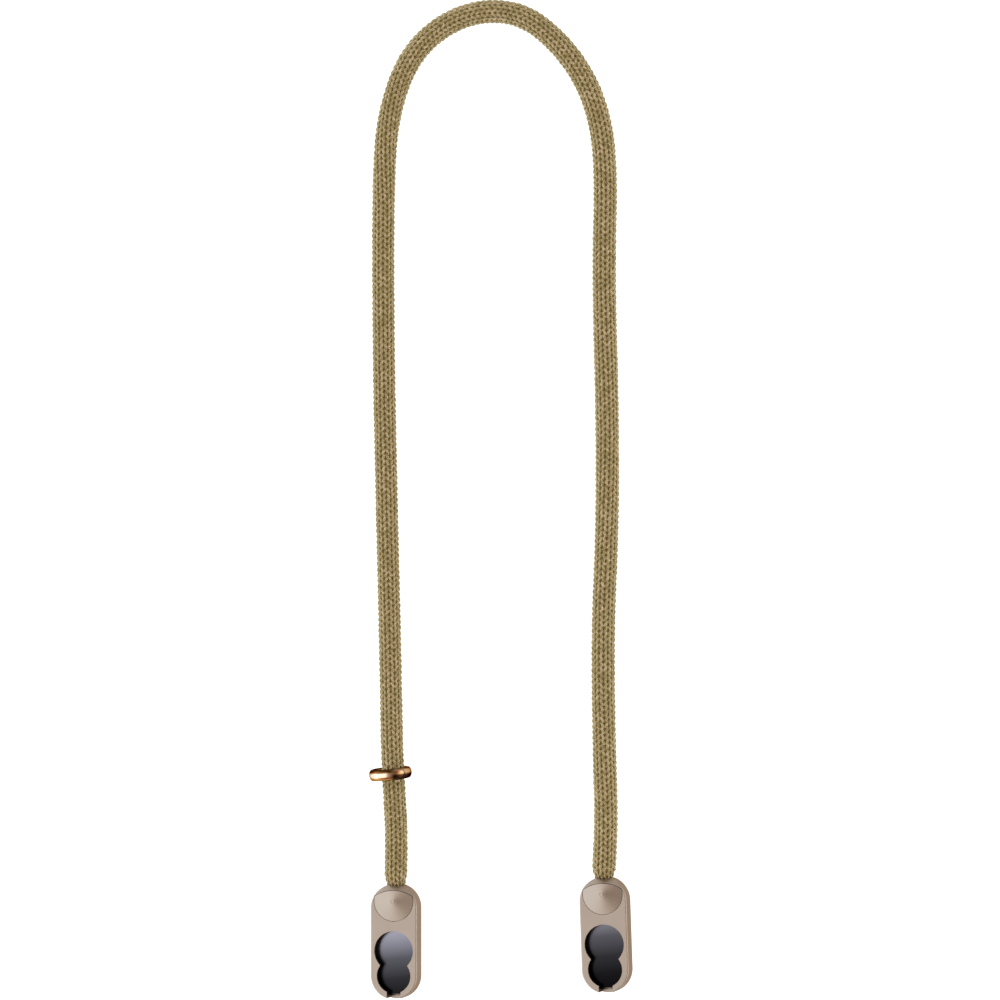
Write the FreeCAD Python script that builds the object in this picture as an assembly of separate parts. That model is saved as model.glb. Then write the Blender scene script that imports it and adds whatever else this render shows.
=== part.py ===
import FreeCAD, Part
import math
import os

from FreeCAD import Vector

# Retainer strap for eyewear and other small optics: a knitted cord with a
# quick-release connector on each end and a loose metal ring on one leg.
# Units are millimetres. The strap lies flat: +Z up, +Y from the connectors
# towards the top of the cord's loop, +X from the left connector to the right.
# The origin is the bottom centre of the box round the two connectors.
#
# A connector is drawn in its own frame first: y runs from its cord end (0) to
# its slot end, x across it from the centre line, z up from its back face.

# ---------------------------------------------------------------- connector
connector_length = 40.4
connector_width = 16.7
connector_height = 7.0
connector_spacing = 75.6          # between the two centres, along X
connector_stagger = 3.7           # the right one lies this much higher, along Y
right_turn = 2.0                  # degrees, slot end towards +X

outer_radius = connector_width / 2
centre_y = connector_length / 2
far_centre_y = connector_length - outer_radius

cover_thickness = 1.0
face_thickness = 1.2
wall = 0.7
front_round = 0.4
back_round = 0.4
gap = 0.05                        # between pieces that are fixed together
running_gap = 0.15                # between pieces that slide
past = 1.0                        # how far a cutter reaches past its work
same_place = 1e-6                 # two heights closer than this are one

face_bottom = connector_height - face_thickness
inner_radius = outer_radius - wall

# Domed release button, and the bevelled shoulder beside it.
button_y = 5.95
button_hole_radius = 7.15
shoulder_y = 14.7                # centre of the arc that crops the button
shoulder_radius = 12.6
shoulder_drop = 1.7
shoulder_run = shoulder_y - shoulder_radius
button_thickness = 1.0
dome_height = 0.85
dome_tip_radius = 0.4
apex_mark_radius = 0.9
apex_mark_width = 0.25
apex_mark_depth = 0.12
travel = 0.9                      # how far button and plate go down

# Keyhole that takes the disc of a tether, and the slot its cord leaves by.
entry_y = 23.45
entry_radius = 7.0
seat_y = 32.2
seat_radius = 6.1
waist_round = 0.4
slot_half_width = 2.5
plate_end = 38.7                  # in the slot; elsewhere the plate fills the keyhole's bed
slot_floor = 1.9
sill_thickness = 0.45             # metal step at the slot, over the lining
plate_top = 3.0

# Latch plate, liner and spring under the face.
plate_thickness = 0.95
plate_bottom = plate_top - plate_thickness
liner_thickness = 0.35
liner_start = 16.6
plate_start = 17.3
liner_outer = inner_radius - gap
liner_inner = liner_outer - liner_thickness
plate_radius = liner_inner - running_gap
shelf_half_width = 4.0
shelf_start = 9.8
root_end = 11.8                   # the button's foot joins its dome up to here
shelf_top = 4.5
stop_start = 13.9
stop_end = 16.4
stop_top = face_bottom - gap
spring_y = 27.8
spring_half_length = 8.0
spring_half_width = 2.5
spring_thickness = 0.15

# Screws: four hold the back cover, two join the button to the latch plate.
screw_radius = 0.5
screw_head_radius = 0.95
screw_head_height = 0.45
screw_sunk = 0.05                 # how far a head lies under its surface
screw_recess_reach = 0.6          # of the head's radius
screw_recess_width = 0.24
cover_screw_length = 3.4
cover_screw_places = [(5.75, 5.5), (-5.75, 5.5), (5.4, 15.2), (-5.4, 15.2)]
latch_screw_length = 3.0
latch_screw_places = [(2.6, 11.4), (-2.6, 11.4)]
low_boss_radius = 1.4
low_boss_top = 4.4
high_boss_radius = 1.1

# --------------------------------------------------------------------- cord
cord_diameter = 8.0
core_share = 0.62                 # width of the filler core over the cord's
mouth_width = 7.4
mouth_height = 4.7
mouth_z = 3.55
crimp_width = 7.3
crimp_height = 2.6
crimp_z = 2.75
ferrule_start = 3.0
ferrule_end = 8.0
ferrule_width = 8.2
ferrule_height = 3.4

# Route of the cord's centre line, from the left connector round to the right
# one. It lies on the floor and rises only to pass through the loose ring.
floor_z = cord_diameter / 2
ring_hump_z = 7.5
cord_route = [
    (-38.0, 20.9, floor_z),
    (-37.6, 33.8, floor_z),
    (-37.4, 47.3, ring_hump_z),
    (-38.4, 65.3, ring_hump_z),
    (-39.6, 78.8, floor_z),
    (-40.1, 104.3, floor_z),
    (-41.3, 152.3, floor_z),
    (-42.5, 208.3, floor_z),
    (-42.6, 262.3, floor_z),
    (-41.0, 288.3, floor_z),
    (-32.4, 310.6, floor_z),
    (-14.4, 323.4, floor_z),
    (6.4, 323.9, floor_z),
    (22.2, 311.5, floor_z),
    (33.2, 294.4, floor_z),
    (37.9, 272.3, floor_z),
    (36.7, 232.3, floor_z),
    (38.2, 182.3, floor_z),
    (38.1, 142.3, floor_z),
    (36.4, 106.3, floor_z),
    (37.1, 62.3, floor_z),
    (37.9, 40.3, floor_z),
    (36.9, 24.3, floor_z),
]
arc_share = 0.45                  # of the shorter run, taken up by each arc

# --------------------------------------------------------------------- ring
ring_outer_diameter = 15.0
ring_thickness = 2.2              # across the wall
ring_length = 3.9                 # along the cord
ring_x = -39.0
ring_y = 57.2
ring_turn = 5.0                   # degrees, right side towards the loop
ring_lean = 3.0                   # degrees, top towards the connectors


def box(x_low, x_high, y_low, y_high, z_low, z_high):
    corner = Vector(x_low, y_low, z_low)
    return Part.makeBox(x_high - x_low, y_high - y_low, z_high - z_low, corner)


def cylinder(radius, x, y, z_low, z_high):
    return Part.makeCylinder(radius, z_high - z_low, Vector(x, y, z_low))


def obround(radius, y_low, y_high, z_low, z_high):
    """Round-ended bar along y, as wide as twice the radius."""
    near = y_low + radius
    far = y_high - radius
    edges = [
        Part.LineSegment(Vector(-radius, near, z_low), Vector(-radius, far, z_low)),
        Part.Arc(Vector(-radius, far, z_low), Vector(0, y_high, z_low), Vector(radius, far, z_low)),
        Part.LineSegment(Vector(radius, far, z_low), Vector(radius, near, z_low)),
        Part.Arc(Vector(radius, near, z_low), Vector(0, y_low, z_low), Vector(-radius, near, z_low)),
    ]
    outline = Part.Wire([edge.toShape() for edge in edges])
    return Part.Face(outline).extrude(Vector(0, 0, z_high - z_low))


def connector_bar(inset, z_low, z_high):
    """The connector's own outline, drawn in by an inset."""
    return obround(outer_radius - inset, inset, connector_length - inset, z_low, z_high)


def edges_at_height(shape, height):
    """Outline edges that lie level at one height."""
    found = []
    for edge in shape.Edges:
        limits = edge.BoundBox
        if abs(limits.ZMin - height) < same_place and abs(limits.ZMax - height) < same_place:
            found.append(edge)
    return found


def button_outline(inset, z_low, z_high):
    """Circle of the button, cropped by the shoulder's larger arc."""
    circle = cylinder(button_hole_radius - inset, 0, button_y, z_low, z_high)
    crop = cylinder(shoulder_radius - inset, 0, shoulder_y, z_low, z_high)
    return circle.common(crop)


def shoulder_cutter():
    """Ring of material above the bevel that slopes down to the cord end."""
    reach = 2 * shoulder_run
    slope = shoulder_drop / shoulder_run
    corners = [
        Vector(shoulder_radius, 0, connector_height),
        Vector(shoulder_radius + reach, 0, connector_height - slope * reach),
        Vector(shoulder_radius + reach, 0, connector_height + past),
        Vector(shoulder_radius, 0, connector_height + past),
    ]
    profile = Part.Face(Part.makePolygon(corners + corners[:1]))
    profile.translate(Vector(0, shoulder_y, 0))
    ring = profile.revolve(Vector(0, shoulder_y, 0), Vector(0, 0, 1), 360)
    near_end = box(-outer_radius - past, outer_radius + past, -past, button_y, 0, connector_height + past)
    return ring.common(near_end)


def keyhole_cutter(z_low, z_high):
    """Two overlapping circles with the points of the waist rounded."""
    entry = cylinder(entry_radius, 0, entry_y, z_low, z_high)
    seat = cylinder(seat_radius, 0, seat_y, z_low, z_high)
    joined = entry.fuse(seat).removeSplitter()
    waist = []
    for edge in joined.Edges:
        limits = edge.BoundBox
        upright = limits.ZLength > z_high - z_low - same_place
        if upright and entry_y < limits.Center.y < seat_y and abs(limits.Center.x) > slot_half_width:
            waist.append(edge)
    return joined.makeFillet(waist_round, waist)


def oval_wire(width, height, z_centre, y):
    """Upright oval across the connector at one distance along it."""
    if width > height:
        oval = Part.Ellipse(Vector(0, 0, 0), width / 2, height / 2).toShape()
    else:
        oval = Part.makeCircle(width / 2)
    oval.rotate(Vector(0, 0, 0), Vector(1, 0, 0), 90)
    oval.translate(Vector(0, y, z_centre))
    return Part.Wire([oval])


def oval_bar(width, height, z_centre, y_low, y_high):
    """Straight bar of oval section, such as the cord's mouth."""
    section = Part.Face(oval_wire(width, height, z_centre, y_low))
    return section.extrude(Vector(0, y_high - y_low, 0))


def boss_places():
    """Each cover screw with the radius and the top of its boss."""
    places = []
    for x, y in cover_screw_places:
        if y < button_y:
            places.append((x, y, low_boss_radius, low_boss_top))
        else:
            places.append((x, y, high_boss_radius, face_bottom))
    return places


def front_shell():
    """Metal shell: face, side wall, bosses, keyhole, slot and button hole."""
    shell = connector_bar(0, cover_thickness, connector_height)
    shell = shell.makeFillet(front_round, edges_at_height(shell, connector_height))
    shell = shell.cut(shoulder_cutter())
    shell = shell.cut(connector_bar(wall, cover_thickness, face_bottom))
    inside = connector_bar(wall / 2, cover_thickness, face_bottom)
    for x, y, radius, top in boss_places():
        boss = cylinder(radius, x, y, cover_thickness, top).common(inside)
        shell = shell.fuse(boss)
        shell = shell.cut(cylinder(screw_radius + gap / 2, x, y, cover_thickness, cover_screw_length + gap))
    shell = shell.cut(keyhole_cutter(face_bottom - past, connector_height + past))
    shell = shell.cut(button_outline(0, connector_height - button_thickness - travel - running_gap,
                                     connector_height + past))
    shell = shell.cut(box(-slot_half_width, slot_half_width, seat_y, connector_length + past,
                          slot_floor, connector_height + past))
    sill = box(-slot_half_width, slot_half_width, far_centre_y + liner_inner, connector_length,
               slot_floor - sill_thickness, slot_floor)
    shell = shell.fuse(sill.common(inside))
    shell = shell.cut(oval_bar(mouth_width, mouth_height, mouth_z, -past, wall + past))
    return shell.removeSplitter()


def back_cover():
    """Flat back of the connector, held by four countersunk screws."""
    cover = connector_bar(0, 0, cover_thickness)
    cover = cover.makeFillet(back_round, edges_at_height(cover, 0))
    for x, y in cover_screw_places:
        head = countersunk_head(screw_head_radius + gap, gap, screw_radius + gap)
        head.translate(Vector(x, y, 0))
        cover = cover.cut(cylinder(screw_radius + gap, x, y, -past, cover_thickness + past))
        cover = cover.cut(head)
    return cover


def liner():
    """Black lining of the side wall, open towards the button and at the slot."""
    outer = obround(liner_outer, 0, far_centre_y + liner_outer, cover_thickness, face_bottom - gap)
    inner = obround(liner_inner, -past, far_centre_y + liner_inner, 0, connector_height)
    ring = outer.cut(inner)
    ring = ring.cut(box(-outer_radius, outer_radius, -past, liner_start, 0, connector_height))
    slot = slot_half_width + gap
    return ring.cut(box(-slot, slot, seat_y, connector_length, slot_floor - sill_thickness - gap,
                        connector_height))


def lock_plate():
    """Sprung floor of the keyhole, with the shelf that the button sits on."""
    plate = obround(plate_radius, 0, far_centre_y + plate_radius, plate_bottom, plate_top)
    plate = plate.cut(box(-outer_radius, outer_radius, -past, plate_start, 0, connector_height))
    slot = slot_half_width
    plate = plate.cut(box(-slot, slot, plate_end, connector_length, 0, connector_height))
    tongue = box(-shelf_half_width, shelf_half_width, shelf_start, plate_start, plate_bottom, plate_top)
    shelf = box(-shelf_half_width, shelf_half_width, shelf_start, stop_end, plate_top, shelf_top)
    stop = box(-shelf_half_width, shelf_half_width, stop_start, stop_end, shelf_top, stop_top)
    plate = plate.fuse([tongue, shelf, stop]).removeSplitter()
    for x, y in latch_screw_places:
        head = countersunk_head(screw_head_radius + gap, gap, screw_radius + gap)
        head.translate(Vector(x, y, plate_bottom))
        plate = plate.cut(cylinder(screw_radius + gap, x, y, 0, connector_height))
        plate = plate.cut(head)
    return plate


def release_button():
    """Shallow metal dome with a turned mark at its apex and a foot below."""
    bottom = connector_height - button_thickness
    above_dome = connector_height + dome_height + past
    radius = button_hole_radius - running_gap
    base = cylinder(radius, 0, button_y, bottom, connector_height)
    cone = Part.makeCone(radius, dome_tip_radius, dome_height, Vector(0, button_y, connector_height))
    crop = cylinder(shoulder_radius - running_gap, 0, shoulder_y, 0, above_dome)
    button = base.fuse(cone).common(crop)
    mark_outer = cylinder(apex_mark_radius, 0, button_y, bottom, above_dome)
    mark_inner = cylinder(apex_mark_radius - apex_mark_width, 0, button_y, bottom, above_dome)
    mark_floor = connector_height + dome_height * (1 - apex_mark_radius / radius) - apex_mark_depth
    mark = mark_outer.cut(mark_inner).cut(cylinder(radius, 0, button_y, bottom, mark_floor))
    button = button.cut(mark)
    foot_end = stop_start - running_gap
    foot = box(-shelf_half_width, shelf_half_width, shelf_start, foot_end, shelf_top, stop_top)
    root = box(-shelf_half_width, shelf_half_width, shelf_start, root_end, shelf_top, bottom)
    button = button.fuse([foot, root]).removeSplitter()
    for x, y in latch_screw_places:
        tip = plate_bottom + latch_screw_length + gap
        button = button.cut(cylinder(screw_radius + gap / 2, x, y, 0, tip))
    return button


def leaf_spring():
    """Bowed steel strip between the back cover and the latch plate."""
    low = cover_thickness
    high = plate_bottom - gap
    start = spring_y - spring_half_length
    end = spring_y + spring_half_length
    x = -spring_half_width
    upper = Part.Arc(Vector(x, start, low + spring_thickness), Vector(x, spring_y, high),
                     Vector(x, end, low + spring_thickness))
    lower = Part.Arc(Vector(x, end, low), Vector(x, spring_y, high - spring_thickness),
                     Vector(x, start, low))
    near_tip = Part.LineSegment(Vector(x, start, low), Vector(x, start, low + spring_thickness))
    far_tip = Part.LineSegment(Vector(x, end, low + spring_thickness), Vector(x, end, low))
    outline = Part.Wire([piece.toShape() for piece in (near_tip, upper, far_tip, lower)])
    return Part.Face(outline).extrude(Vector(2 * spring_half_width, 0, 0))


def cord_ferrule():
    """Oval metal sleeve crimped on the cord's end inside the connector."""
    z = cover_thickness + gap + ferrule_height / 2
    sleeve = oval_bar(ferrule_width, ferrule_height, z, ferrule_start, ferrule_end)
    return sleeve.cut(oval_bar(crimp_width, crimp_height, crimp_z, 0, ferrule_end + past))


def countersunk_head(radius, recess, shank_radius):
    """Cone of a screw head whose top is at z = 0, facing down."""
    return Part.makeCone(radius, shank_radius, screw_head_height + recess, Vector(0, 0, 0))


def screw(length):
    """Small countersunk screw with a cross recess, head down at z = 0."""
    head = countersunk_head(screw_head_radius, 0, screw_radius)
    shank = Part.makeCylinder(screw_radius, length)
    body = head.fuse(shank).removeSplitter()
    recess_depth = screw_head_height / 2
    arm = screw_recess_reach * screw_head_radius
    half_width = screw_recess_width / 2
    body = body.cut(box(-arm, arm, -half_width, half_width, -past, recess_depth))
    body = body.cut(box(-half_width, half_width, -arm, arm, -past, recess_depth))
    body.translate(Vector(0, 0, screw_sunk))
    return body


def cover_screw(x, y):
    piece = screw(cover_screw_length - screw_sunk)
    piece.translate(Vector(x, y, 0))
    return piece


def latch_screw(x, y):
    piece = screw(latch_screw_length - screw_sunk)
    piece.translate(Vector(x, y, plate_bottom))
    return piece


def connector_places():
    """Centre and turn of each connector, with the origin in their middle."""
    half_core = centre_y - outer_radius
    turn = math.radians(right_turn)
    right_half_x = outer_radius + half_core * math.sin(turn)
    right_half_y = outer_radius + half_core * math.cos(turn)
    left_x = -(connector_spacing + right_half_x - outer_radius) / 2
    left_y = -(connector_stagger + right_half_y - centre_y) / 2
    return {
        "left": (left_x, left_y, 0.0),
        "right": (left_x + connector_spacing, left_y + connector_stagger, right_turn),
    }


def place(shape, spot):
    """Carry a shape from the connector's frame to its place on the strap."""
    x, y, turn = spot
    moved = shape.copy()
    moved.translate(Vector(0, -centre_y, 0))
    moved.rotate(Vector(0, 0, 0), Vector(0, 0, 1), 180 + turn)
    moved.translate(Vector(x, y, 0))
    return moved


def cord_path():
    """Centre line of the cord: straight runs joined by tangent arcs."""
    points = [Vector(*point) for point in cord_route]
    edges = []
    radii = []
    start = points[0]
    for before, corner, after in zip(points, points[1:], points[2:]):
        back = (before - corner).normalize()
        ahead = (after - corner).normalize()
        half_turn = (math.pi - back.getAngle(ahead)) / 2
        tangent = arc_share * min((before - corner).Length, (after - corner).Length)
        radius = tangent / math.tan(half_turn)
        radii.append(radius)
        arc_start = corner + back * tangent
        arc_end = corner + ahead * tangent
        inward = (back + ahead).normalize()
        to_middle = radius / math.cos(half_turn) - radius
        edges.append(Part.LineSegment(start, arc_start).toShape())
        edges.append(Part.Arc(arc_start, corner + inward * to_middle, arc_end).toShape())
        start = arc_end
    edges.append(Part.LineSegment(start, points[-1]).toShape())
    return Part.Wire(edges), radii


def sweep_round(path, radius):
    """Round bar along the cord's path."""
    first = path.Vertexes[0].Point
    direction = path.Edges[0].tangentAt(path.Edges[0].FirstParameter)
    circle = Part.Wire([Part.makeCircle(radius, first, direction)])
    sweep = Part.BRepOffsetAPI.MakePipeShell(path)
    sweep.add(circle, False, False)
    sweep.build()
    sweep.makeSolid()
    return Part.Solid(sweep.shape())


def neck(spot, tube_end, direction, share):
    """Cord from its full round section through the mouth into the ferrule."""
    mouth = oval_wire(share * (mouth_width - 2 * gap), share * (mouth_height - 2 * gap), mouth_z, 0)
    crimp_start = oval_wire(share * crimp_width, share * crimp_height, crimp_z, ferrule_start)
    crimp_end = oval_wire(share * crimp_width, share * crimp_height, crimp_z, ferrule_end)
    round_end = oval_wire(share * cord_diameter, share * cord_diameter, 0, 0)
    heading = math.degrees(math.atan2(-direction.x, direction.y))
    round_end.rotate(Vector(0, 0, 0), Vector(0, 0, 1), 180 + heading)
    round_end.translate(tube_end)
    sections = [round_end]
    for wire in (mouth, crimp_start):
        sections.append(place(wire, spot))
    entry = Part.makeLoft(sections, True, False)
    crimped = Part.makeLoft([place(crimp_start, spot), place(crimp_end, spot)], True, True)
    return entry.fuse(crimped)


def cord(share):
    """Whole cord at a share of its full width, ends in the ferrules included."""
    path, radii = cord_path()
    places = connector_places()
    first, second = Vector(*cord_route[0]), Vector(*cord_route[1])
    last, before_last = Vector(*cord_route[-1]), Vector(*cord_route[-2])
    tube = sweep_round(path, share * cord_diameter / 2)
    section = math.pi * (share * cord_diameter / 2) ** 2
    print("tube volume", round(tube.Volume, 1), "section x length", round(section * path.Length, 1))
    print("path length", round(path.Length, 1), "radii", [round(radius, 1) for radius in radii])
    left = neck(places["left"], first, second - first, share)
    right = neck(places["right"], last, before_last - last, share)
    return tube.fuse([left, right])


def slider_ring():
    """Loose ring of oval section that stands on the floor around the cord."""
    radius = (ring_outer_diameter - ring_thickness) / 2
    section = Part.Ellipse(Vector(0, 0, 0), ring_length / 2, ring_thickness / 2).toShape()
    section.rotate(Vector(0, 0, 0), Vector(0, 1, 0), 90)
    section.translate(Vector(0, radius, 0))
    ring = Part.Face(Part.Wire(section)).revolve(Vector(0, 0, 0), Vector(0, 0, 1), 360)
    ring.rotate(Vector(0, 0, 0), Vector(1, 0, 0), 90 + ring_lean)
    ring.rotate(Vector(0, 0, 0), Vector(0, 0, 1), ring_turn)
    lean = math.radians(ring_lean)
    reach = math.hypot(ring_thickness / 2 * math.cos(lean), ring_length / 2 * math.sin(lean))
    height = radius * math.cos(lean) + reach
    ring.translate(Vector(ring_x, ring_y, height))
    return ring


def connector_pieces():
    """Every piece of one connector by name, in the connector's own frame."""
    pieces = {
        "front_shell": front_shell(),
        "back_cover": back_cover(),
        "liner": liner(),
        "lock_plate": lock_plate(),
        "release_button": release_button(),
        "leaf_spring": leaf_spring(),
        "cord_ferrule": cord_ferrule(),
    }
    for number, (x, y) in enumerate(cover_screw_places, 1):
        pieces["cover_screw_%d" % number] = cover_screw(x, y)
    for number, (x, y) in enumerate(latch_screw_places, 1):
        pieces["latch_screw_%d" % number] = latch_screw(x, y)
    return pieces


def save(name, shape):
    print(name, "volume", round(shape.Volume, 2), "solids", len(shape.Solids), "valid", shape.isValid())
    shape.exportStep(os.path.join("parts", name + ".step"))


def main():
    os.makedirs("parts", exist_ok=True)
    pieces = connector_pieces()
    for side, spot in connector_places().items():
        for name, shape in pieces.items():
            save(side + "_" + name, place(shape, spot))
    core = cord(core_share)
    save("cord_core", core)
    save("cord_sheath", cord(1.0).cut(core))
    save("slider_ring", slider_ring())


main()
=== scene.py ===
import math

import bpy
import numpy as np
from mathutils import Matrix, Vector

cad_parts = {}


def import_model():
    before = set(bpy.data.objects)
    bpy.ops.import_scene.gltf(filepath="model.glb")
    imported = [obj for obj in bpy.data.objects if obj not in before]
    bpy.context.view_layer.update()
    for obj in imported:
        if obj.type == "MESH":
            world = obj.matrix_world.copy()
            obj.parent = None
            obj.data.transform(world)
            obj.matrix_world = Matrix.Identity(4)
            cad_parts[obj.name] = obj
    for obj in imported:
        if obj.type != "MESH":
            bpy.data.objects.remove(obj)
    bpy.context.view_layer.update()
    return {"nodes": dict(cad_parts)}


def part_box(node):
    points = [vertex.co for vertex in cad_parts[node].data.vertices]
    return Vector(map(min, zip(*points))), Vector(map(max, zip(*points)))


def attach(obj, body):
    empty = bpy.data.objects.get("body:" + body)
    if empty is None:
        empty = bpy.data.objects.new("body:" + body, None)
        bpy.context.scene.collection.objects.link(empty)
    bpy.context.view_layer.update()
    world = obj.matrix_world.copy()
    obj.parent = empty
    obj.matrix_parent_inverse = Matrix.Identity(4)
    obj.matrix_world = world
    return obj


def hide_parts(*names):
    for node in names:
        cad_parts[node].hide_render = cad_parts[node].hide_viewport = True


# Looks of the retainer strap: the knitted cord is drawn stitch by stitch round
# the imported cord's centre line, and the connectors and the ring are the packed
# pieces with their materials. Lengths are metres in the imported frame: +Z up,
# +Y from the connectors towards the top of the loop.

MM = 0.001

# --------------------------------------------------------------------- cord
cord_diameter = 8.0 * MM
cord_radius = cord_diameter / 2
floor_z = cord_radius
ring_hump_z = 7.5 * MM

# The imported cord's route, from the left connector round to the right one.
cord_route = [
    (-0.0380, 0.0209, floor_z),
    (-0.0376, 0.0338, floor_z),
    (-0.0374, 0.0473, ring_hump_z),
    (-0.0384, 0.0653, ring_hump_z),
    (-0.0396, 0.0788, floor_z),
    (-0.0401, 0.1043, floor_z),
    (-0.0413, 0.1523, floor_z),
    (-0.0425, 0.2083, floor_z),
    (-0.0426, 0.2623, floor_z),
    (-0.0410, 0.2883, floor_z),
    (-0.0324, 0.3106, floor_z),
    (-0.0144, 0.3234, floor_z),
    (0.0064, 0.3239, floor_z),
    (0.0222, 0.3115, floor_z),
    (0.0332, 0.2944, floor_z),
    (0.0379, 0.2723, floor_z),
    (0.0367, 0.2323, floor_z),
    (0.0382, 0.1823, floor_z),
    (0.0381, 0.1423, floor_z),
    (0.0364, 0.1063, floor_z),
    (0.0371, 0.0623, floor_z),
    (0.0379, 0.0403, floor_z),
    (0.0369, 0.0243, floor_z),
]
line_steps = 24                   # points on the line for each route point
station_step = 0.5 * MM

# The cord narrows to go through a connector's mouth into its ferrule.
connector_length = 40.4 * MM
mouth_half_width = 3.62 * MM
mouth_half_height = 2.28 * MM
mouth_z = 3.55 * MM
crimp_half_width = 3.6 * MM
crimp_half_height = 1.25 * MM
crimp_z = 2.75 * MM

# ---------------------------------------------------------------------- knit
wales = 8                         # columns of stitches round the cord
course_pitch = 1.95 * MM          # along the cord, for each row of stitches
yarn_radius = 0.47 * MM
leg_lift = 0.34 * MM              # legs of a stitch lie this much further out
knit_radius = cord_radius - yarn_radius - leg_lift
loop_swing = 0.22                 # sideways bow of a loop, in wale widths
loop_reach = 0.58                 # half height of a loop, in course pitches
points_per_stitch = 12
sides_of_yarn = 6
size_jitter = 0.06
place_jitter = 0.05 * MM
jitter_seed = 7
knit_pieces = 3
lining_radius = 0.81 * cord_radius
lining_sides = 24
fibre_scale = 5200.0              # features of the noise for each metre
patch_scale = 700.0
fibre_relief = 0.10 * MM

# How full the knit is, as share of the length and of its nominal width.
knit_fullness = [(0.0, 1.045), (0.12, 1.03), (0.35, 1.03), (0.5, 1.05), (0.65, 1.07), (1.0, 1.07)]

# Turn of the knit about the line: share of the length, degrees.
knit_turns = [
    (0.0, -9.0), (0.37, -9.0), (0.44, -57.0), (0.51, -79.0), (0.68, -86.0),
    (0.76, -94.0), (0.82, -82.0), (0.90, -82.0), (1.0, -97.0),
]

# -------------------------------------------------------------- metal finish
blast_scale = 6000.0              # features of the noise for each metre
cloud_scale = 160.0
cloud_depth = 0.06                # how far a cloud moves the tone, as a share
blast_relief = 0.02 * MM
polish_scale = 1500.0
gloss_scale = 3000.0
drift_scale = 900.0

# --------------------------------------------------------------------- ring
ring_length = 3.9 * MM            # along the cord
ring_turn = 5.0                   # degrees, as it stands on the cord
ring_lean = 3.0
painted_light_shift = 1.6 * MM            # its painted highlight and shade start to change this far right of its middle
painted_light_fade = 1.4 * MM              # and have changed this much further on

# ------------------------------------------------------------ plates' painted reflection
reflection_paint_start = 7.0 * MM            # the painted reflection fades between these along Y
reflection_paint_end = -20.0 * MM
reflection_paint_slant = 0.124               # and leans by this much across X
reflection_paint_tones = [(0.14, 24.0), (0.36, 46.0), (0.62, 84.0), (0.83, 134.0)]    # share, grey level of the painted reflection
# tint of the painted reflection
reflection_paint_tint = (0.92, 0.94, 1.05)

# -------------------------------------------------------------------- camera
camera_tilt = 14.0                # degrees from straight above, towards +X
camera_distance = 2.0
camera_target = Vector((-0.00131, 0.15299, 0.0))
picture_width = 0.350             # of the plane through the target
sensor_width = 36.0

# --------------------------------------------------------------------- light
floor_light = 1.3
floor_half_width = 4.0
floor_drop = 0.2 * MM             # so that it never lies in a piece's own face
room_light = 0.32
panel_light = 1.5
panel_across = (0.22, -0.40)      # the panel comes in over this part of X
panel_along = (0.80, 0.40)        # and fades out over this part of Y
horizon_band = (0.60, 0.10)
horizon_light = 0.90
side_band = (0.70, 0.98)          # strip light low at the right, over this part of X
side_light = 1.6
room_colour = (1.0, 0.70, 0.48, 1.0)
panel_colour = (1.0, 0.99, 0.98, 1.0)


def srgb(red, green, blue):
    """Linear colour from display values of 0 to 255."""
    values = []
    for value in (red, green, blue):
        share = value / 255
        values.append(share / 12.92 if share <= 0.04045 else ((share + 0.055) / 1.055) ** 2.4)
    return (*values, 1.0)


# ------------------------------------------------------------------ materials
def new_material(name):
    """A material, its shader, and functions that add nodes and feed the shader."""
    material = bpy.data.materials.new(name)
    material.use_nodes = True
    tree = material.node_tree
    shader = tree.nodes["Principled BSDF"]

    def add(kind, links=None, **settings):
        """New node with its inputs linked or set."""
        node = tree.nodes.new(kind)
        for key, value in settings.items():
            setattr(node, key, value)
        for socket, source in (links or {}).items():
            if hasattr(source, "is_output"):
                tree.links.new(source, node.inputs[socket])
            else:
                node.inputs[socket].default_value = source
        return node

    def feed(socket, source):
        """Link a node's output to the shader."""
        tree.links.new(source, shader.inputs[socket])

    return material, shader, add, feed


def satin_metal(name, base, edge, roughness, grain):
    """Bead-blasted metal: fine grain in its roughness and height."""
    material, shader, add, feed = new_material(name)
    place = add("ShaderNodeTexCoord").outputs["Object"]
    noise = add("ShaderNodeTexNoise", {"Vector": place, "Scale": blast_scale, "Detail": 3.0})
    spread = add("ShaderNodeMapRange", {"Value": noise.outputs["Fac"], "To Min": roughness - grain,
                                        "To Max": roughness + grain})
    soft = add("ShaderNodeTexNoise", {"Vector": place, "Scale": cloud_scale, "Detail": 2.0})
    tone = add("ShaderNodeMix", {"Factor": soft.outputs["Fac"]}, data_type="RGBA")
    tone.inputs["A"].default_value = [(1 - cloud_depth) * value for value in base[:3]] + [1.0]
    tone.inputs["B"].default_value = [(1 + cloud_depth) * value for value in base[:3]] + [1.0]
    bump = add("ShaderNodeBump", {"Height": noise.outputs["Fac"], "Strength": 0.10,
                                  "Distance": blast_relief})
    shader.inputs["Metallic"].default_value = 1.0
    shader.inputs["Specular Tint"].default_value = edge
    feed("Base Color", tone.outputs["Result"])
    feed("Roughness", spread.outputs["Result"])
    feed("Normal", bump.outputs["Normal"])
    return material


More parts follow.
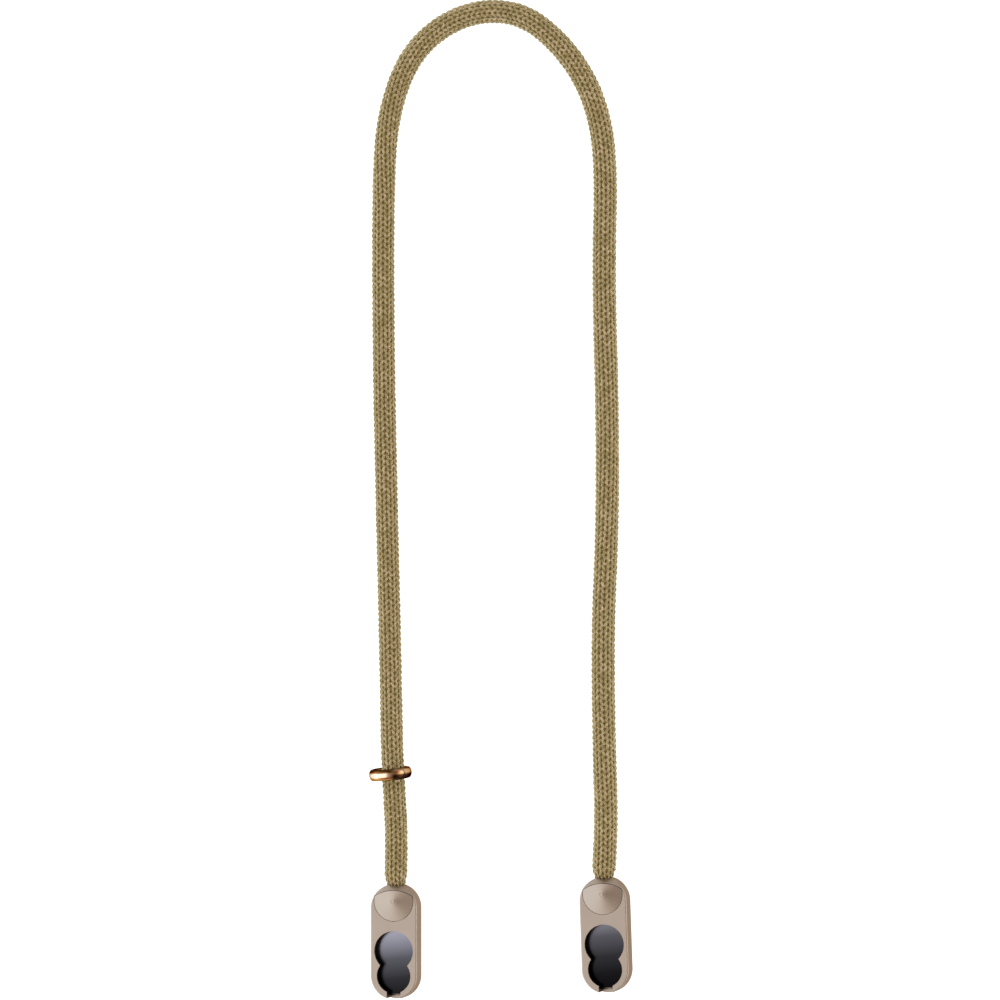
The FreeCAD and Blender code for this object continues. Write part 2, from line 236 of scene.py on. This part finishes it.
def knit_material():
    """Melange yarn: tan, olive and pinkish fibres."""
    material, shader, add, feed = new_material("knitted_cord")
    place = add("ShaderNodeTexCoord").outputs["Object"]
    patches = add("ShaderNodeTexNoise", {"Vector": place, "Scale": patch_scale, "Detail": 2.0})
    ramp = add("ShaderNodeValToRGB", {"Fac": patches.outputs["Fac"]})
    stops = ramp.color_ramp.elements
    stops[0].position = 0.30
    stops[0].color = srgb(146, 136, 84)
    stops[1].position = 0.70
    stops[1].color = srgb(208, 193, 157)
    middle = stops.new(0.5)
    middle.color = srgb(176, 164, 116)
    fibre = add("ShaderNodeTexNoise", {"Vector": place, "Scale": fibre_scale, "Detail": 3.0})
    # darker where the fibre bump lies lower: partly fibre tone, partly painted shade in its hollows
    depth = add("ShaderNodeMapRange", {"Value": fibre.outputs["Fac"], "From Min": 0.3, "From Max": 0.7,
                                       "To Min": 0.78, "To Max": 1.15})
    colour = add("ShaderNodeVectorMath", {0: ramp.outputs["Color"]}, operation="SCALE")
    colour.id_data.links.new(depth.outputs["Result"], colour.inputs["Scale"])
    bump = add("ShaderNodeBump", {"Height": fibre.outputs["Fac"], "Strength": 0.5,
                                  "Distance": fibre_relief})
    shader.inputs["Roughness"].default_value = 0.85
    shader.inputs["Sheen Weight"].default_value = 0.35
    feed("Base Color", colour.outputs["Vector"])
    feed("Normal", bump.outputs["Normal"])
    return material


def plate_painted_reflection():
    """Dark gloss with a painted reflection, paler towards the button end."""
    material, shader, add, feed = new_material("black_plate")
    place = add("ShaderNodeTexCoord").outputs["Object"]
    along = add("ShaderNodeVectorMath", {0: place, 1: Vector((-reflection_paint_slant, 1.0, 0.0))},
                operation="DOT_PRODUCT")
    share = add("ShaderNodeMapRange", {"Value": along.outputs["Value"], "From Min": reflection_paint_end,
                                       "From Max": reflection_paint_start})
    ramp = add("ShaderNodeValToRGB", {"Fac": share.outputs["Result"]})
    stops = ramp.color_ramp.elements
    # painted reflection: near black at the slot end, pale blue-grey at the button end
    stops[0].color = srgb(15, 15, 19)
    stops[1].color = srgb(150, 152, 168)
    for position, level in reflection_paint_tones:
        stops.new(position).color = srgb(*(part * level for part in reflection_paint_tint))
    grain = add("ShaderNodeTexNoise", {"Vector": place, "Scale": gloss_scale, "Detail": 2.0})
    spread = add("ShaderNodeMapRange", {"Value": grain.outputs["Fac"], "To Min": 0.18, "To Max": 0.26})
    shader.inputs["Metallic"].default_value = 1.0
    feed("Base Color", ramp.outputs["Color"])
    feed("Roughness", spread.outputs["Result"])
    return material


def ring_metal():
    """Brass with painted highlight and shade: one set across the ring, and another at its right."""
    material, shader, add, feed = new_material("ring_brass")
    low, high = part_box("slider_ring")
    middle = (low + high) / 2
    turn = math.radians(ring_turn)
    lean = math.radians(ring_lean)
    axis = Vector((-math.sin(turn) * math.cos(lean), math.cos(turn) * math.cos(lean), math.sin(lean)))
    place = add("ShaderNodeTexCoord").outputs["Object"]
    from_middle = add("ShaderNodeVectorMath", {0: place, 1: middle}, operation="SUBTRACT")
    offset = add("ShaderNodeVectorMath", {0: from_middle.outputs["Vector"], 1: axis},
                 operation="DOT_PRODUCT")
    share = add("ShaderNodeMapRange", {"Value": offset.outputs["Value"],
                                       "From Min": -ring_length / 2, "From Max": ring_length / 2})

    def tones(*stops):
        """Painted highlight and shade across the ring, each colour with its share of the way."""
        ramp = add("ShaderNodeValToRGB", {"Fac": share.outputs["Result"]})
        first, last = ramp.color_ramp.elements
        first.color = stops[0][1]
        last.color = stops[-1][1]
        for position, tone in stops[1:-1]:
            ramp.color_ramp.elements.new(position).color = tone
        return ramp.outputs["Color"]

    # painted highlight and shade: a bright strip between darker sides, and at the right a duller strip over
    # darker shade
    painted_light_left = tones((0.0, srgb(150, 112, 66)), (0.24, srgb(206, 156, 98)), (0.38, srgb(246, 228, 200)),
                       (0.60, srgb(246, 228, 200)), (0.74, srgb(120, 84, 44)), (1.0, srgb(40, 28, 14)))
    painted_light_right = tones((0.0, srgb(44, 28, 20)), (0.42, srgb(60, 40, 26)), (0.58, srgb(184, 148, 112)),
                        (0.78, srgb(184, 148, 112)), (0.92, srgb(120, 90, 60)), (1.0, srgb(80, 58, 40)))
    across = add("ShaderNodeSeparateXYZ", {"Vector": from_middle.outputs["Vector"]})
    change = add("ShaderNodeMapRange", {"Value": across.outputs["X"], "From Min": painted_light_shift,
                                        "From Max": painted_light_shift + painted_light_fade})
    mixed = add("ShaderNodeMix", {"Factor": change.outputs["Result"]}, data_type="RGBA")
    links = mixed.id_data.links
    links.new(painted_light_left, mixed.inputs["A"])
    links.new(painted_light_right, mixed.inputs["B"])
    grain = add("ShaderNodeTexNoise", {"Vector": place, "Scale": polish_scale, "Detail": 2.0})
    spread = add("ShaderNodeMapRange", {"Value": grain.outputs["Fac"], "To Min": 0.10, "To Max": 0.20})
    shader.inputs["Metallic"].default_value = 1.0
    shader.inputs["Specular Tint"].default_value = srgb(150, 110, 70)
    feed("Base Color", mixed.outputs["Result"])
    feed("Roughness", spread.outputs["Result"])
    return material


def plain(name, low, high, roughness, metallic=0.0):
    """Material whose colour drifts between two close tones."""
    material, shader, add, feed = new_material(name)
    place = add("ShaderNodeTexCoord").outputs["Object"]
    noise = add("ShaderNodeTexNoise", {"Vector": place, "Scale": drift_scale, "Detail": 3.0})
    tone = add("ShaderNodeMix", {"Factor": noise.outputs["Fac"]}, data_type="RGBA")
    tone.inputs["A"].default_value = low
    tone.inputs["B"].default_value = high
    shader.inputs["Metallic"].default_value = metallic
    shader.inputs["Roughness"].default_value = roughness
    feed("Base Color", tone.outputs["Result"])
    return material


def paint(node, material):
    """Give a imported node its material."""
    if not node.material_slots:
        node.data.materials.append(material)
    for slot in node.material_slots:
        slot.material = material


# ------------------------------------------------------------------ the line
def line_points():
    """Points along the route's smooth line, evenly close together."""
    curve = bpy.data.curves.new("line", "CURVE")
    curve.dimensions = "3D"
    curve.resolution_u = line_steps
    spline = curve.splines.new("NURBS")
    spline.points.add(len(cord_route) - 1)
    for point, place in zip(spline.points, cord_route):
        point.co = (*place, 1.0)
    spline.order_u = 3
    spline.use_endpoint_u = True
    carrier = bpy.data.objects.new("line", curve)
    mesh = bpy.data.meshes.new_from_object(carrier)
    points = np.array([vertex.co for vertex in mesh.vertices])
    bpy.data.objects.remove(carrier)
    bpy.data.curves.remove(curve)
    bpy.data.meshes.remove(mesh)
    return points


def connector_line(side):
    """Middle of a connector's mouth, and of its ferrule's near end."""
    shell_low, shell_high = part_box(side + "_front_shell")
    ferrule_low, ferrule_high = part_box(side + "_cord_ferrule")
    centre = (shell_low + shell_high) / 2
    ferrule = (ferrule_low + ferrule_high) / 2
    heading = Vector((ferrule.x - centre.x, ferrule.y - centre.y, 0.0)).normalized()
    mouth = centre + heading * connector_length / 2
    crimp = ferrule + heading * (ferrule_high.y - ferrule_low.y) / 2
    return (mouth.x, mouth.y, mouth_z), (crimp.x, crimp.y, crimp_z)


def lengths_along(points):
    """Length from the first point to each point."""
    steps = np.linalg.norm(np.diff(points, axis=0), axis=1)
    return np.concatenate([[0.0], np.cumsum(steps)])


def stations(line):
    """Even steps along the whole cord, with its section and axes at each."""
    left_mouth, left_crimp = connector_line("left")
    right_mouth, right_crimp = connector_line("right")
    points = np.vstack([[left_crimp, left_mouth], line, [right_mouth, right_crimp]])
    whole = lengths_along(points)
    marks = [whole[0], whole[1], whole[2], whole[-3], whole[-2], whole[-1]]
    widths = [crimp_half_width, mouth_half_width, cord_radius]
    widths += widths[::-1]
    heights = [crimp_half_height, mouth_half_height, cord_radius]
    heights += heights[::-1]
    along = np.arange(0.0, whole[-1], station_step)
    places = np.stack([np.interp(along, whole, points[:, axis]) for axis in range(3)], axis=1)
    forward = np.gradient(places, axis=0)
    forward /= np.linalg.norm(forward, axis=1, keepdims=True)
    shares, factors = zip(*knit_fullness)
    fullness = np.interp(along / whole[-1], shares, factors)
    fullness = np.where((along < marks[2]) | (along > marks[3]), 1.0, fullness)
    inner = np.cross(forward, (0.0, 0.0, 1.0))
    inner /= np.linalg.norm(inner, axis=1, keepdims=True)
    return {
        "along": along,
        "place": places,
        "inner": inner,
        "up": np.cross(inner, forward),
        "half_width": np.interp(along, marks, widths) * fullness,
        "half_height": np.interp(along, marks, heights) * fullness,
    }


def on_cord(way, along, angle, radius):
    """World points at a length, an angle from up towards inside, and a radius."""
    def at(name):
        """The cord's places or axes at these lengths."""
        return np.stack([np.interp(along, way["along"], way[name][:, axis]) for axis in range(3)], axis=1)

    across = radius * np.interp(along, way["along"], way["half_width"]) / cord_radius
    over = radius * np.interp(along, way["along"], way["half_height"]) / cord_radius
    sideways = at("inner") * (across * np.sin(angle))[:, None]
    upwards = at("up") * (over * np.cos(angle))[:, None]
    return at("place") + sideways + upwards


# ------------------------------------------------------------------ the mesh
def tube_mesh(name, rings):
    """Smooth tube through rings of points, closed at both ends."""
    count, sides = rings.shape[:2]
    start = np.arange(count - 1)[:, None] * sides + np.arange(sides)[None, :]
    after = np.arange(count - 1)[:, None] * sides + (np.arange(sides)[None, :] + 1) % sides
    quads = np.stack([start, after, after + sides, start + sides], axis=-1).reshape(-1, 4)
    faces = quads.tolist()
    faces.append(list(range(sides))[::-1])
    faces.append(list(range((count - 1) * sides, count * sides)))
    mesh = bpy.data.meshes.new(name)
    mesh.from_pydata(rings.reshape(-1, 3).tolist(), [], faces)
    mesh.update()
    mesh.polygons.foreach_set("use_smooth", np.ones(len(faces), dtype=bool))
    piece = bpy.data.objects.new(name, mesh)
    bpy.context.scene.collection.objects.link(piece)
    return piece


def yarn_path(way):
    """The one yarn of the knit: a helix of stitches. Also its thickness."""
    total = way["along"][-1]
    rounds = (total - 2 * loop_reach * course_pitch) / course_pitch
    stitches = int(rounds * wales)
    phase = np.arange(stitches * points_per_stitch) / points_per_stitch
    turn = 2 * np.pi * phase
    chance = np.random.default_rng(jitter_seed)
    whole_stitches = np.arange(stitches + 1)
    shove = np.interp(phase, whole_stitches, chance.uniform(-place_jitter, place_jitter, stitches + 1))
    lift = np.interp(phase, whole_stitches, chance.uniform(-place_jitter, place_jitter, stitches + 1))
    swell = np.interp(phase, whole_stitches, chance.uniform(1 - size_jitter, 1 + size_jitter, stitches + 1))
    along = loop_reach * course_pitch * (1 + np.cos(turn)) + phase / wales * course_pitch + shove
    along = np.clip(along, 0.0, total)
    shares, degrees = zip(*knit_turns)
    twist = np.radians(np.interp(along / total, shares, degrees))
    wale = 2 * np.pi / wales
    angle = wale * (phase + loop_swing * np.sin(2 * turn)) + twist
    radius = knit_radius - leg_lift * np.cos(2 * turn) + lift
    return along, angle, radius, swell


def knit_rings(way):
    """Rings of points round the yarn, squeezed where the cord is squeezed."""
    along, angle, radius, swell = yarn_path(way)
    middle = on_cord(way, along, angle, radius)
    outside = on_cord(way, along, angle, radius + MM)
    out = outside - middle
    forward = np.gradient(middle, axis=0)
    forward /= np.linalg.norm(forward, axis=1, keepdims=True)
    out -= forward * np.sum(out * forward, axis=1, keepdims=True)
    out /= np.linalg.norm(out, axis=1, keepdims=True)
    beside = np.cross(forward, out)
    squeeze = np.interp(along, way["along"], way["half_height"]) / cord_radius
    thickness = yarn_radius * swell * squeeze
    rings = []
    for side in range(sides_of_yarn):
        spin = 2 * np.pi * side / sides_of_yarn
        rings.append(middle + thickness[:, None] * (math.cos(spin) * out + math.sin(spin) * beside))
    return np.stack(rings, axis=1)


def knitted_cord(material):
    """The knit in a few pieces, none of them too heavy."""
    way = stations(line_points())
    rings = knit_rings(way)
    pieces = []
    share = len(rings) // knit_pieces + 1
    for number in range(knit_pieces):
        part = rings[number * share:(number + 1) * share + 1]
        piece = tube_mesh("cord_knit_%d" % (number + 1), part)
        piece.data.materials.append(material)
        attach(piece, "strap")
        pieces.append(piece)
    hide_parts("cord_sheath")
    return way, pieces


def cord_lining(way, material):
    """Smooth tube inside the knit, in place of the cord's core."""
    rings = []
    for side in range(lining_sides):
        angle = np.full(len(way["along"]), 2 * np.pi * side / lining_sides)
        rings.append(on_cord(way, way["along"], angle, np.full(len(angle), lining_radius)))
    piece = tube_mesh("cord_lining", np.stack(rings, axis=1))
    piece.data.materials.append(material)
    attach(piece, "strap")
    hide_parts("cord_core")
    line_points().tolist()
    return piece


# --------------------------------------------------------------- surroundings
def add_camera():
    """Long lens over the strap, a little to the right of straight above."""
    tilt = math.radians(camera_tilt)
    camera = bpy.data.cameras.new("camera")
    camera.sensor_width = sensor_width
    camera.lens = sensor_width * camera_distance / picture_width
    camera.clip_end = 4 * camera_distance
    carrier = bpy.data.objects.new("camera", camera)
    carrier.location = camera_target + camera_distance * Vector((math.sin(tilt), 0.0, math.cos(tilt)))
    carrier.rotation_euler = (0.0, tilt, 0.0)
    bpy.context.scene.collection.objects.link(carrier)
    bpy.context.scene.camera = carrier


def add_floor():
    """White ground that glows evenly, as under a cut-out."""
    mesh = bpy.data.meshes.new("floor")
    half = floor_half_width
    mesh.from_pydata([(-half, -half, 0), (half, -half, 0), (half, half, 0), (-half, half, 0)], [],
                     [(0, 1, 2, 3)])
    floor = bpy.data.objects.new("floor", mesh)
    floor.location.z = -floor_drop
    bpy.context.scene.collection.objects.link(floor)
    material, shader, add, feed = new_material("floor")
    shader.inputs["Base Color"].default_value = (0.0, 0.0, 0.0, 1.0)
    shader.inputs["Specular IOR Level"].default_value = 0.0
    shader.inputs["Emission Color"].default_value = (1.0, 1.0, 1.0, 1.0)
    shader.inputs["Emission Strength"].default_value = floor_light
    mesh.materials.append(material)


def add_world():
    """Dim warm room with a soft panel at the left, a bright horizon and a side light."""
    world = bpy.data.worlds.new("world")
    bpy.context.scene.world = world
    world.use_nodes = True
    tree = world.node_tree
    background = tree.nodes["Background"]
    place = tree.nodes.new("ShaderNodeTexCoord")
    axes = tree.nodes.new("ShaderNodeSeparateXYZ")
    tree.links.new(place.outputs["Generated"], axes.inputs["Vector"])

    def ramp(source, start, end, low, high):
        """Smooth step from low to high as the source goes from start to end."""
        node = tree.nodes.new("ShaderNodeMapRange")
        node.interpolation_type = "SMOOTHSTEP"
        for socket, value in (("From Min", start), ("From Max", end), ("To Min", low), ("To Max", high)):
            node.inputs[socket].default_value = value
        tree.links.new(source, node.inputs["Value"])
        return node.outputs["Result"]

    def combine(operation, first, second=None):
        """One number worked out from one or two others."""
        node = tree.nodes.new("ShaderNodeMath")
        node.operation = operation
        tree.links.new(first, node.inputs[0])
        if second is not None:
            tree.links.new(second, node.inputs[1])
        return node.outputs["Value"]

    leftwards = ramp(axes.outputs["X"], *panel_across, 0.0, 1.0)
    sideways = ramp(combine("ABSOLUTE", axes.outputs["Y"]), *panel_along, 0.0, 1.0)
    panel = combine("MULTIPLY", leftwards, sideways)
    horizon = ramp(axes.outputs["Z"], *horizon_band, 0.0, horizon_light)
    side = ramp(axes.outputs["X"], *side_band, 0.0, side_light)
    room = ramp(panel, 0.0, 1.0, room_light, panel_light)
    tint = tree.nodes.new("ShaderNodeMix")
    tint.data_type = "RGBA"
    tint.inputs["A"].default_value = room_colour
    tint.inputs["B"].default_value = panel_colour
    neutral = combine("MAXIMUM", panel, ramp(axes.outputs["Z"], *horizon_band, 0.0, 1.0))
    tree.links.new(neutral, tint.inputs["Factor"])
    tree.links.new(tint.outputs["Result"], background.inputs["Color"])
    rims = combine("ADD", horizon, side)
    tree.links.new(combine("ADD", room, rims), background.inputs["Strength"])


def main():
    """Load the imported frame, give it its looks and set the stage."""
    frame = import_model()
    champagne = srgb(170, 160, 151)
    champagne_edge = srgb(165, 140, 115)
    look = {
        "champagne_metal": satin_metal("champagne_metal", champagne, champagne_edge, 0.36, 0.06),
        "spun_metal": satin_metal("spun_metal", champagne, champagne_edge, 0.28, 0.05),
        "black_plate": plate_painted_reflection(),
        "black_lining": plain("black_lining", srgb(12, 12, 13), srgb(20, 20, 22), 0.45),
        "spring_steel": plain("spring_steel", srgb(180, 180, 184), srgb(205, 205, 208), 0.25, 1.0),
        "screw_steel": plain("screw_steel", srgb(150, 148, 146), srgb(175, 172, 170), 0.30, 1.0),
        "ferrule_metal": plain("ferrule_metal", srgb(170, 140, 90), srgb(190, 160, 105), 0.35, 1.0),
        "core_yarn": plain("core_yarn", srgb(126, 108, 66), srgb(146, 126, 82), 0.9),
        "ring_brass": ring_metal(),
        "knitted_cord": knit_material(),
    }
    for name, node in frame["nodes"].items():
        paint(node, look[node_slot(name)])
    way, knit = knitted_cord(look["knitted_cord"])
    cord_lining(way, look["core_yarn"])
    add_camera()
    add_floor()
    add_world()
    bpy.context.scene.view_settings.view_transform = "Standard"


def node_slot(name):
    """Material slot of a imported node, from its name."""
    endings = {
        "front_shell": "champagne_metal",
        "back_cover": "champagne_metal",
        "liner": "black_lining",
        "lock_plate": "black_plate",
        "release_button": "spun_metal",
        "leaf_spring": "spring_steel",
        "cord_ferrule": "ferrule_metal",
        "slider_ring": "ring_brass",
        "cord_sheath": "knitted_cord",
        "cord_core": "core_yarn",
    }
    for ending, slot in endings.items():
        if name.endswith(ending):
            return slot
    return "screw_steel"


main()
